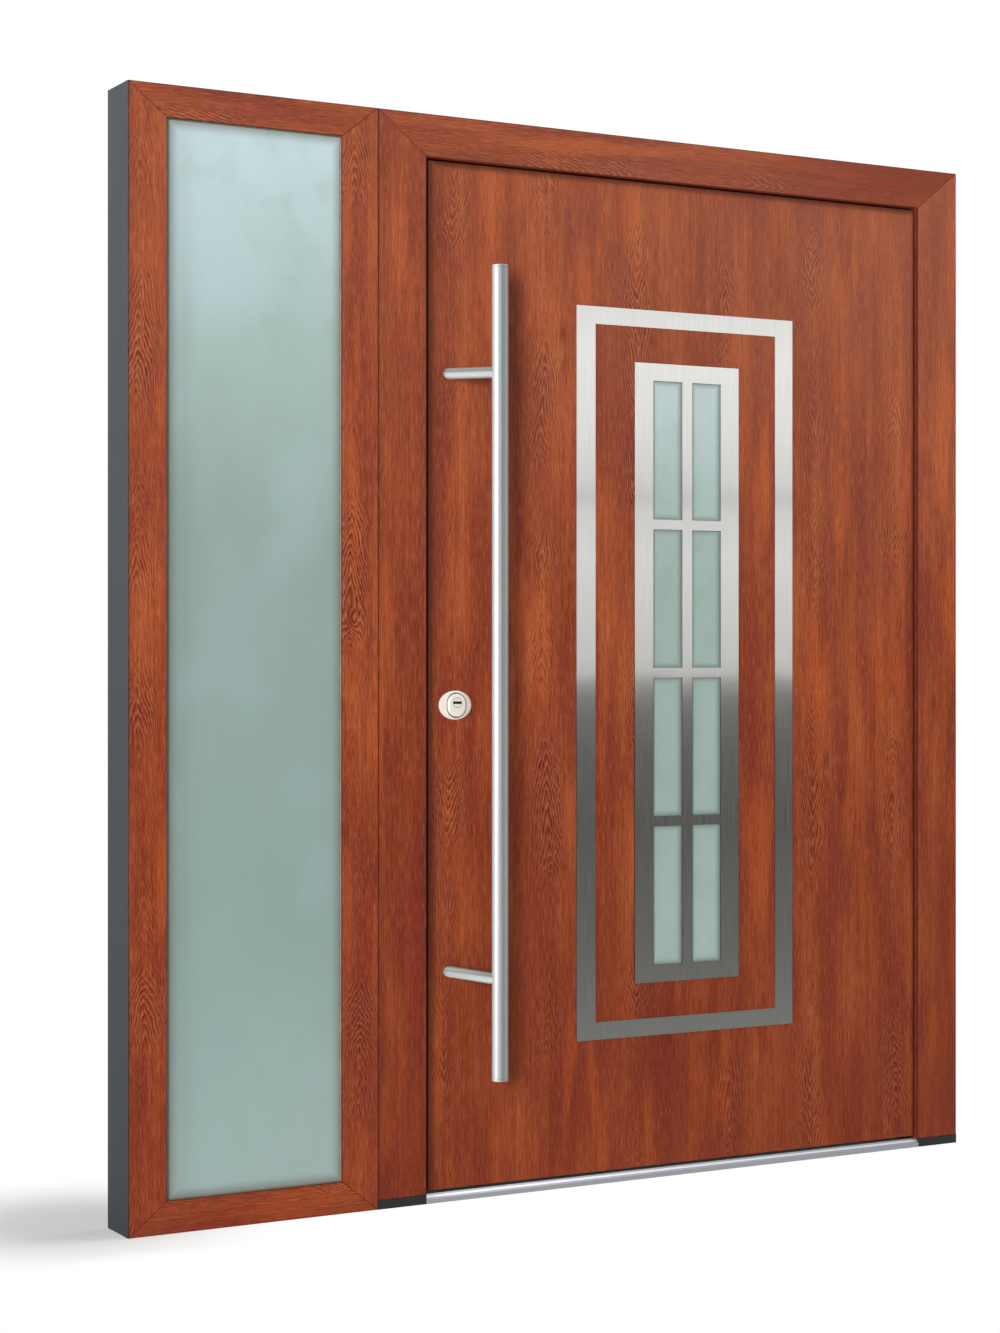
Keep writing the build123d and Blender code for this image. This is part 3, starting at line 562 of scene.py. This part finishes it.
side_opening_low = (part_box("sidelight_wall_stile")[1].x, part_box("sidelight_bottom_rail")[1].z)
side_opening_high = (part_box("sidelight_door_stile")[0].x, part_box("sidelight_top_rail")[0].z)
gasket(
    "sidelight_outer_gasket", side_opening_low, side_opening_high,
    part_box("sidelight_outer_pane")[0].y, -1, "frame", grey_rubber,
)
bead_opening_low = (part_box("sidelight_left_bead")[1].x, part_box("sidelight_bottom_bead")[1].z)
bead_opening_high = (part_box("sidelight_right_bead")[0].x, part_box("sidelight_top_bead")[0].z)
gasket(
    "sidelight_inner_gasket", bead_opening_low, bead_opening_high,
    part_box("sidelight_inner_pane")[1].y, 1, "frame", grey_rubber,
)


# Frame seals: rubber run up both posts and across the head. A black bulb on the back of the lip meets the
# leaf's flange. A thin brown lining with a darker nose covers the lip's edge, where it shows as the joint
# round the leaf: it is a dark sheet that stands for the shade in the reveal, and both are painted paler
# under the head as light.
SEAL_WIDTH = 0.0075
SEAL_HEIGHT = 0.0060
SEAL_REACH = 0.009
SEAL_ROOM = 0.0055
LINING_THICKNESS = 0.0005
LINING_SETBACK = 0.0012
LINING_GAP = 0.0002
NOSE_DEPTH = 0.0050
lip_x = (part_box("lock_post")[1].x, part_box("hinge_post")[0].x)
lip_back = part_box("leaf_seal")[0].y - SEAL_ROOM
lip_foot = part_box("lock_post_foot")[1].z
lining_front = wall_frame_front + LINING_SETBACK
nose_back = lining_front + NOSE_DEPTH
# The nose and the lining are dark sheets that stand for the shade in the reveal, painted paler under the
# head.
nose_shade_material = soft_rubber("nose_shade_rubber", srgb(58, 20, 11), srgb(72, 27, 16), srgb(118, 44, 25))
lining_shade_rubber = soft_rubber("lining_shade_rubber", srgb(98, 37, 22), srgb(122, 50, 32), srgb(158, 70, 40))


def rebate_strip(name, profile_out, profile_y, material):
    """A closed profile carried up the lock post, across the head and down the hinge post.

    Each row is the profile at one corner of the path, moved outwards from the opening's edge, and a point in
    the middle of each end closes the strip."""
    sides = np.array([-1, -1, 1, 1])[:, None]
    edge = np.array([lip_x[0], lip_x[0], lip_x[1], lip_x[1]])[:, None]
    foot = np.array([1, 0, 0, 1])[:, None]
    across = edge + sides * profile_out
    level = foot * lip_foot + (1 - foot) * (lip_top + profile_out)
    rows = np.stack([across, np.broadcast_to(profile_y, across.shape), level], axis=-1)
    ends = rows.mean(axis=1, keepdims=True).repeat(rows.shape[1], axis=1)
    strip = surface(name, np.concatenate([ends[:1], rows, ends[-1:]])[None])
    strip.data.materials.append(material)
    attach(strip, "frame")


bulb_turn = np.linspace(0, np.pi, 13)
bulb_out = SEAL_REACH + SEAL_WIDTH / 2 * np.cos(bulb_turn)
bulb_y = lip_back + SEAL_HEIGHT * np.sin(bulb_turn)
rebate_strip("frame_seal", bulb_out, bulb_y, rubber)
nose_out = np.array([0.0, 0.0, -LINING_THICKNESS, -LINING_THICKNESS, -LINING_THICKNESS / 2])
nose_y = np.array([lining_front, nose_back, nose_back, lining_front + LINING_THICKNESS, lining_front])
rebate_strip("nose_shade_strip", nose_out, nose_y, nose_shade_material)
lining_out = np.array([0.0, 0.0, -LINING_THICKNESS, -LINING_THICKNESS])
lining_y = np.array([nose_back + LINING_GAP, lip_back, lip_back, nose_back + LINING_GAP])
rebate_strip("lining_shade_strip", lining_out, lining_y, lining_shade_rubber)


# Leaf: an insulated panel between two foil-wrapped skins. Its edge shows two grey powder-coated profiles
# with the black plastic break that joins them, and rubber seals run round its flange and under its foot.
wear(wood_foil("leaf_wood_foil", True, 0.015, "leaf_outer_skin", 0.34), "leaf_outer_skin", "leaf_inner_skin")
edge_profile, shader, (x, y, z) = new_material("leaf_edge_profile")
BREAK_HALF = 0.011
BREAK_SETBACK = 0.016
break_middle = (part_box("leaf_core")[0].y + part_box("leaf_core")[1].y) / 2 + BREAK_SETBACK
from_break = y - break_middle
from_break = from_break.maths("ABSOLUTE", from_break)
thermal_break = 1 - step(from_break, BREAK_HALF, BREAK_HALF + 0.0006)
orange_peel = cloud((x + y) * 520.0, z * 520.0, 1.0)
coat = ramp(orange_peel, (0.35, srgb(78, 82, 88)), (0.75, srgb(98, 102, 108)))
dress(shader, {
    "Base Color": blend(thermal_break, coat, srgb(24, 24, 25)),
    "Roughness": 0.46 + thermal_break * 0.16,
    "Specular IOR Level": 0.40,
    "Normal": relief(orange_peel, 0.00005),
})
wear(edge_profile, "leaf_core")
wear(rubber, "leaf_seal", "leaf_drop_seal")


# Steel inlays: a flat ring and the window grid, laser-cut from satin stainless sheet and bonded to the skin.
# The sheet is ground along its height. A painted reflection makes it pale in its upper part and dark like
# gun metal below mid-height.
INLAY_REFLECTION_STOPS = (  # height in metres, grey
    (0.29, 112), (0.45, 94), (0.70, 76), (0.86, 86), (0.935, 104), (0.972, 122), (0.998, 150), (1.022, 190),
    (1.05, 201), (1.10, 207), (1.26, 222), (1.345, 215), (1.375, 203), (1.41, 217), (1.50, 231), (1.66, 241),
    (1.77, 233),
)
inlay_low, inlay_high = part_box("steel_ring")
inlay_steel, shader, (x, y, z) = new_material("inlay_steel")
span = inlay_high.z - inlay_low.z
rise = (z - inlay_low.z) / span
grind = cloud(x * 1500.0, z * 9.0, 2.0)
light_haze = cloud(x * 8.0, z * 6.0, 3.0)
# Painted reflection: the sheet's greys by height.
tones = [((level - inlay_low.z) / span, srgb(grey, grey * 0.997, grey - 4)) for level, grey in INLAY_REFLECTION_STOPS]
sheet = ramp(rise + (light_haze - 0.5) * 0.02, *tones)
sheet = blend((grind - 0.5) * 0.5 + 0.12, sheet, srgb(150, 150, 150))
dress(shader, {
    "Base Color": sheet,
    "Metallic": 1.0,
    "Roughness": 0.30 + (grind - 0.5) * 0.14 + (light_haze - 0.5) * 0.08,
    "Normal": relief(grind, 0.00002),
})
wear(inlay_steel, "steel_ring", "steel_window_grid")


# Leaf glazing: a narrow frosted unit behind the grid, held from inside by a foil-wrapped liner with its
# own gasket.
# Greens by height for the window's painted reflection, paler towards the top.
WINDOW_STOPS = (
    (0.0, srgb(160, 180, 176)),
    (0.25, srgb(154, 174, 169)),
    (0.60, srgb(156, 176, 168)),
    (0.82, srgb(170, 189, 184)),
    (1.0, srgb(196, 212, 213)),
)
GRID_LIGHTS = ((0.070, 0.094, 2), (0.281, 0.301, 4))  # opening, pitch and count, across and up
grid_low, grid_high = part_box("steel_window_grid")


def window_shade(x, z):
    """1 beside the bars of the grid, falling to 0 in from them, by the place within the light it lies in."""
    insets = []
    for place, start, end, (opening, pitch, count) in zip((x, z), grid_low.xz, grid_high.xz, GRID_LIGHTS):
        cells = (place - (start + end) / 2) / pitch + count / 2
        local = cells.maths("FRACT", cells) - 0.5
        insets.append(opening / 2 - local.maths("ABSOLUTE", local) * pitch)
    return 1 - step(insets[0].maths("MINIMUM", *insets), -0.003, 0.014)


window_glass = frosted_glass("window_frosted_glass", "leaf_outer_pane", WINDOW_STOPS, window_shade)
wear(window_glass, "leaf_outer_pane", "leaf_inner_pane")
wear(spacer_aluminium, "leaf_spacer")
wear(upright_foil, "leaf_window_liner")
pane_low, pane_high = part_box("leaf_inner_pane")
LINER_BITE = 0.009
window_low = (pane_low.x + LINER_BITE, pane_low.z + LINER_BITE)
window_high = (pane_high.x - LINER_BITE, pane_high.z - LINER_BITE)
gasket("leaf_window_gasket", window_low, window_high, pane_high.y, 1, "leaf", grey_rubber)


# Pull handle: a satin stainless tube with pressed-in end caps, on two slanting posts of the same steel.
# The tube is ground round, so its fine lines run level. Its flanks and those of the posts are painted
# pale and dark, as reflected light and shade.
TUBE_SHADING_STOPS = (  # place from flank to flank, grey
    (-1.0, 184), (-0.60, 204), (-0.38, 186), (-0.15, 162), (0.06, 146),
    (0.28, 118), (0.50, 132), (0.74, 166), (1.0, 150),
)


def ground_tube(node, place_on_tube):
    """Satin steel tube: a row of greys from one flank, -1, to the other, 1, with fine lines round it.

    The row of greys is painted light and shade, as the tube reflects them.
    """
    made, shader, (x, y, z) = new_material(f"{node}_steel")
    lines = cloud((x + y) * 40.0, z * 2400.0)
    smudges = cloud((x + y) * 14.0, z * 9.0, 3.0)
    stops = [((flank + 1) / 2, srgb(grey - 3, grey + 1, grey)) for flank, grey in TUBE_SHADING_STOPS]
    flank = place_on_tube(x, y, z) * 0.5 + 0.5
    dress(shader, {
        "Base Color": blend(lines * 0.2, ramp(flank + (smudges - 0.5) * 0.05, *stops), srgb(150, 154, 153)),
        "Metallic": 0.35,
        "Roughness": 0.43 + (lines - 0.5) * 0.16 + (smudges - 0.5) * 0.10,
        "Normal": relief(lines, 0.00002),
    })
    wear(made, node)


# The axis across the tube along which its light and shade are painted.
PAINTED_SHADING_AXIS = (0.875, -0.484)
bar_low, bar_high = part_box("pull_bar")
bar_middle, bar_radius = (bar_low + bar_high) / 2, (bar_high.x - bar_low.x) / 2
ground_tube("pull_bar", lambda x, y, z: (
    ((x - bar_middle.x) * PAINTED_SHADING_AXIS[0] + (y - bar_middle.y) * PAINTED_SHADING_AXIS[1]) / bar_radius
))
post_low, post_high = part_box("upper_pull_standoff")
post_radius = (post_high.z - post_low.z) / 2
# The posts' light and shade are painted across their height.
for node in ("upper_pull_standoff", "lower_pull_standoff"):
    low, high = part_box(node)
    fall = (high.z - low.z - 2 * post_radius) / (high.x - low.x)
    ground_tube(node, lambda x, y, z: (z - (high.z - post_radius) + (x - low.x) * fall) / post_radius)


# Lock: an oval rosette with a raised shield, both satin stainless, and the cylinder's key plug. A dark joint
# runs round the shield, widened to its right by a painted shadow, and the keyway is a slot in the plug's
# face, painted dark inside and round its edge as shade.
shield_steel = brushed_steel("shield_steel", srgb(236, 230, 220), srgb(214, 209, 200), 0.3, 0.33)
wear(shield_steel, "cylinder_shield")
shield_low, shield_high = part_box("cylinder_shield")
shield_middle = (shield_low + shield_high) / 2
shield_radius = (shield_high.x - shield_low.x) / 2
shield_straight = (shield_high.z - shield_low.z) / 2 - shield_radius
JOINT_DARK = srgb(22, 19, 17)
JOINT_SHADE = 0.0009
JOINT_START = 0.0016
JOINT_END = 0.0029

rosette_steel, shader, (x, y, z) = new_material("rosette_steel")
lines = cloud((x + y) * 2400.0, z * 12.0)
# The joint is shifted to the right, as a painted shadow of the raised shield.
beside, above = x - (shield_middle.x + JOINT_SHADE), z - shield_middle.z
above = above.maths("MAXIMUM", above.maths("ABSOLUTE", above) - shield_straight, 0.0)
from_shield = beside * beside + above * above
from_shield = from_shield.maths("SQRT", from_shield) - shield_radius
joint = 1 - step(from_shield, JOINT_START, JOINT_END)
dress(shader, {
    "Base Color": blend(joint, blend(lines, srgb(218, 210, 199), srgb(240, 231, 219)), JOINT_DARK),
    "Metallic": 0.3,
    "Roughness": 0.33 + (lines - 0.5) * 0.16,
    "Normal": relief(lines, 0.00002),
})
wear(rosette_steel, "cylinder_rosette")

KEYWAY_HALF_LENGTH = 0.0085
KEYWAY_HALF_HEIGHT = 0.00175
plug_metal, shader, (x, y, z) = new_material("plug_metal")
plug_low, plug_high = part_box("key_plug")
plug_middle = (plug_low + plug_high) / 2
plug_radius = (plug_high.x - plug_low.x) / 2
# Painted shade: the keyway's inside and a margin round it are dark.
keyway = step(y, plug_low.y + 0.0009, plug_low.y + 0.0012)
beside, above = x - plug_middle.x, z - plug_middle.z
from_middle = beside * beside + above * above
from_middle = from_middle.maths("SQRT", from_middle)
rim = step(from_middle, plug_radius - 0.0011, plug_radius - 0.0005)
past_length = beside.maths("ABSOLUTE", beside) - KEYWAY_HALF_LENGTH
past_height = above.maths("ABSOLUTE", above) - KEYWAY_HALF_HEIGHT
slot_edge_shade = 1 - step(past_length.maths("MAXIMUM", past_length, past_height), 0.0004, 0.0009)
keyway = keyway.maths("MAXIMUM", keyway, slot_edge_shade)
lines = cloud(x * 40.0, z * 2400.0)
plug_face = blend(lines, srgb(210, 205, 197), srgb(234, 228, 219))
dress(shader, {
    "Base Color": blend(keyway.maths("MAXIMUM", keyway, rim * 0.8), plug_face, JOINT_DARK),
    "Metallic": 0.4 - keyway * 0.3,
    "Roughness": 0.34 + keyway * 0.3,
    "Normal": relief(lines, 0.00002),
})
wear(plug_metal, "key_plug")


# Inside furniture: a bent round lever on its rosette, and the inside end of the cylinder below it, all in
# satin stainless.
lever_steel = brushed_steel("lever_steel", srgb(222, 223, 221), srgb(178, 180, 179), 0.75, 0.32)
wear(lever_steel, "inside_lever", "lever_rosette", "inside_cylinder_rosette")


# Lock plate: the multi-point lock's stainless face in the leaf's edge, with its latch, bolt and hooks drawn
# back flush, and the same cross-recess screws as the strike plate.
bolt_steel = brushed_steel("bolt_steel", srgb(170, 168, 164), srgb(118, 117, 114), 0.9, 0.38, True)
wear(plate_steel, "lock_plate")
wear(bolt_steel, "lock_bolts")
edge_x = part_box("lock_plate")[0].x
lock_seats = [(edge_x, plate_middle, level) for level in plate_levels]
lock_screws = screw_heads("lock_plate_screws", lock_seats, (-1, 0, 0), (0, 0.8, 0.6), PLATE_SCREW)
lock_screws.data.materials.append(screw_steel)
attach(lock_screws, "leaf")


# Hinges: turned stainless barrels welded to flat plates, each plate held by two screws. A domed cap is
# pressed into the outer end of each barrel half.
hinge_steel = brushed_steel("hinge_steel", srgb(214, 215, 214), srgb(166, 168, 168), 0.8, 0.34, True)
HINGE_SCREW = 0.0046
SCREW_INSET = 0.014
SCREW_LEVELS = (0.012, 0.043)
PLATE_THICKNESS = 0.004
BARREL_RADIUS = 0.011
CAP_SHARE = 0.92
CAP_RISE = 0.0022
for body, half, outer_end in (("frame", "frame_half", -1), ("leaf", "leaf_half", 1)):
    seats, domes = [], []
    for place in ("lower", "middle", "upper"):
        name = f"{place}_hinge_{half}"
        wear(hinge_steel, name)
        low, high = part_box(name)
        barrel_x = low.x + BARREL_RADIUS if body == "frame" else high.x - BARREL_RADIUS
        plate_x = high.x - SCREW_INSET if body == "frame" else low.x + SCREW_INSET
        seats += [(plate_x, low.y + PLATE_THICKNESS, low.z + level) for level in SCREW_LEVELS]
        domes.append((barrel_x, high.y - BARREL_RADIUS, low.z if outer_end < 0 else high.z))
    screws = screw_heads(f"hinge_{body}_screws", seats, (0, 1, 0), (0.7, 0, 0.714), HINGE_SCREW)
    screws.data.materials.append(screw_steel)
    share = np.concatenate([np.linspace(0, 1, 9), [0.0]])[:, None]
    angle = np.linspace(0, 2 * np.pi, 36, endpoint=False)[None, :]
    rise = outer_end * CAP_RISE * np.sqrt(np.clip(1 - share**2, 0, 1))
    rise[-1] = 0.0
    reach = CAP_SHARE * BARREL_RADIUS * share
    dome = np.stack(np.broadcast_arrays(reach * np.cos(angle), reach * np.sin(angle), rise), axis=-1)
    caps = surface(f"hinge_{body}_caps", np.array(domes)[:, None, None, :] + dome[None])
    caps.data.materials.append(hinge_steel)
    for piece in (screws, caps):
        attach(piece, body)


# Stage: a pale floor that carries the shadow and turns to plain white away from the door, a white world
# to the camera and to reflections, and soft studio lamps.
FLOOR_HALF = 40.0
SHADOW_HEART = (-1.95, 0.12)
SHADOW_FADE = (0.08, 0.42)
FRONT_FADE = (-0.06, -0.22)
floor_mesh = bpy.data.meshes.new("floor")
floor_corners = [(x * FLOOR_HALF, y * FLOOR_HALF, 0) for x, y in ((-1, -1), (1, -1), (1, 1), (-1, 1))]
floor_mesh.from_pydata(floor_corners, [], [(0, 1, 2, 3)])
floor = bpy.data.objects.new("floor", floor_mesh)
bpy.context.scene.collection.objects.link(floor)
floor_paint, shader, (x, y, z) = new_material("floor_paint")
tree = floor_paint.node_tree
tree.nodes.remove(shader)


def seen_directly(field):
    """1 where the ray comes straight from the camera, a reflection or a view through glass, else 0."""
    camera, glossy, through = (
        field.node("ShaderNodeLightPath", {}, {}, ray)
        for ray in ("Is Camera Ray", "Is Glossy Ray", "Is Transmission Ray")
    )
    return camera.maths("MAXIMUM", camera, camera.maths("MAXIMUM", glossy, through))


seen = seen_directly(x)
span_x, span_y = x - SHADOW_HEART[0], y - SHADOW_HEART[1]
distance = span_x * span_x + span_y * span_y
distance = distance.maths("SQRT", distance)
far = distance.maths("MAXIMUM", step(distance, *SHADOW_FADE), step(y, *FRONT_FADE))
pale = x.node("ShaderNodeBsdfDiffuse", {}, {"Color": srgb(244, 244, 244)})
glow_level = blend(seen, (0.0, 0.0, 0.0, 1.0), (0.10, 0.10, 0.10, 1.0))
glow = x.node("ShaderNodeEmission", {}, {"Color": glow_level, "Strength": 1.0})
lit = x.node("ShaderNodeAddShader", {}, {0: pale, 1: glow})
white = x.node("ShaderNodeEmission", {}, {"Color": (1.0, 1.0, 1.0, 1.0), "Strength": 1.0})
floor_shader = x.node("ShaderNodeMixShader", {}, {0: seen * far, 1: lit, 2: white})
tree.links.new(floor_shader.socket, tree.nodes["Material Output"].inputs["Surface"])
floor_mesh.materials.append(floor_paint)

world = bpy.data.worlds.new("studio")
bpy.context.scene.world = world
world.use_nodes = True
tree = world.node_tree
backdrop = Field(tree, tree.nodes["Background"].outputs["Background"])
seen = seen_directly(backdrop)
ambient = backdrop.node("ShaderNodeBackground", {}, {"Color": (1.0, 1.0, 1.0, 1.0), "Strength": 0.17})
plain = backdrop.node("ShaderNodeBackground", {}, {"Color": (1.0, 1.0, 1.0, 1.0), "Strength": 1.0})
surround = backdrop.node("ShaderNodeMixShader", {}, {0: seen, 1: ambient, 2: plain})
tree.links.new(surround.socket, tree.nodes["World Output"].inputs["Surface"])


def softbox(name, place, target, width, height, power):
    """A rectangular lamp at one point, turned towards another."""
    lamp = bpy.data.lights.new(name, "AREA")
    lamp.shape = "RECTANGLE"
    lamp.size = width
    lamp.size_y = height
    lamp.energy = power
    box = bpy.data.objects.new(name, lamp)
    box.location = place
    aim = Vector(target) - Vector(place)
    box.rotation_euler = aim.to_track_quat("-Z", "Y").to_euler()
    bpy.context.scene.collection.objects.link(box)
    return box


key = softbox("tall_left_softbox", (-16.2, -15.5, 3.9), (-0.95, 0.0, 1.0), width=4.2, height=9.0, power=4300)
key.visible_glossy = False
softbox("side_strip", (-8.0, -1.15, 1.7), (-0.95, -0.05, 1.05), width=0.7, height=3.4, power=300)
softbox("overhead_softbox", (1.7, -0.6, 6.4), (-1.4, 0.0, 0.5), width=2.6, height=2.6, power=110)

camera_data = bpy.data.cameras.new("camera")
camera_data.sensor_fit = "VERTICAL"
camera_data.sensor_height = 36.0
camera_data.lens = 69.57
camera_data.shift_y = -0.0106
camera = bpy.data.objects.new("camera", camera_data)
camera.location = (-3.5687, -4.4612, 1.0625)
camera.rotation_euler = (math.radians(90), 0, math.radians(-28.947))
bpy.context.scene.collection.objects.link(camera)
bpy.context.scene.camera = camera
bpy.context.scene.view_settings.view_transform = "Standard"
